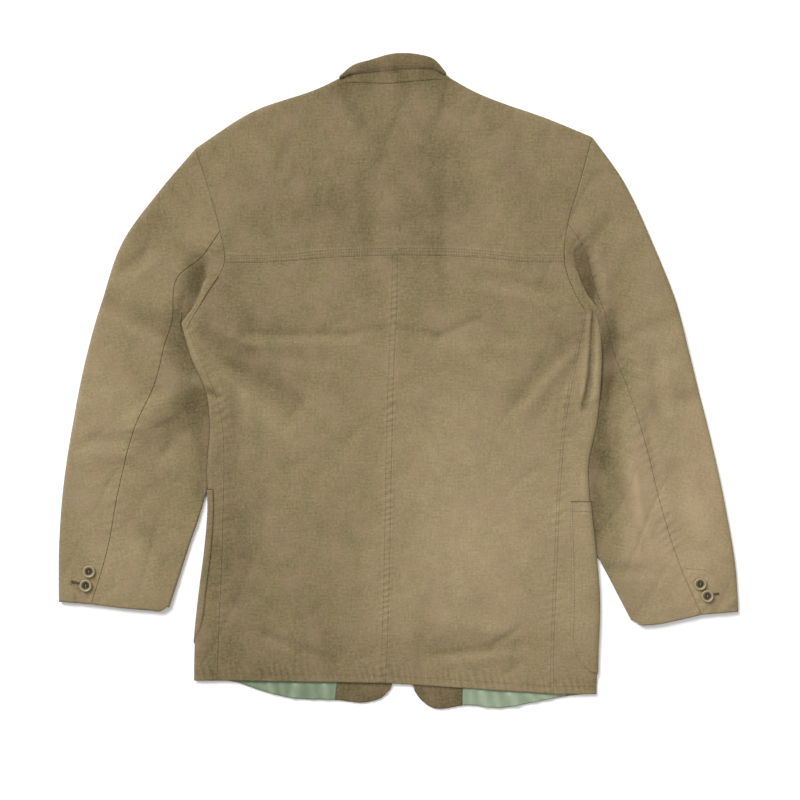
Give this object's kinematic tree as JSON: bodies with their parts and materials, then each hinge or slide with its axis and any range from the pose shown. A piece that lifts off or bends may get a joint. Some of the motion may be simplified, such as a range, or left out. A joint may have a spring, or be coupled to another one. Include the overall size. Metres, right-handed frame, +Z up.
{
  "type": "linen blazer",
  "caption": "Lined linen blazer lying flat on its front with its back up: yoke, centre back seam, two-piece sleeves, buttoned cuffs, patch pockets and collar.",
  "frame": {"origin": "middle of the outline, on the table that the blazer lies on", "axes": "+X across the shoulders to the right of the back as seen from above, +Y from hem to collar, +Z up off the table"},
  "size_m": [0.8508, 0.8206, 0.0097],
  "materials": {
    "linen": "matt khaki linen weave",
    "satin": "smooth mint satin",
    "horn": "polished horn-like resin"
  },
  "bodies": {
    "root": {"yoke": "linen", "back_left": "linen", "back_right": "linen", "front_left": "linen", "front_right": "linen", "upper_sleeve_left": "linen", "upper_sleeve_right": "linen", "under_sleeve_left": "linen", "under_sleeve_right": "linen", "collar_fall": "linen", "collar_stand": "linen", "collar_leaf_left": "linen", "collar_leaf_right": "linen", "lapel_left": "linen", "lapel_right": "linen", "pocket_left": "linen", "pocket_right": "linen", "facing_left": "linen", "facing_right": "linen", "lining_left": "satin", "lining_right": "satin", "cuff_button_left_high": "horn", "cuff_button_left_low": "horn", "cuff_button_right_high": "horn", "cuff_button_right_low": "horn", "front_button_high": "horn", "front_button_middle": "horn", "front_button_low": "horn"}
  },
  "joints": []
}
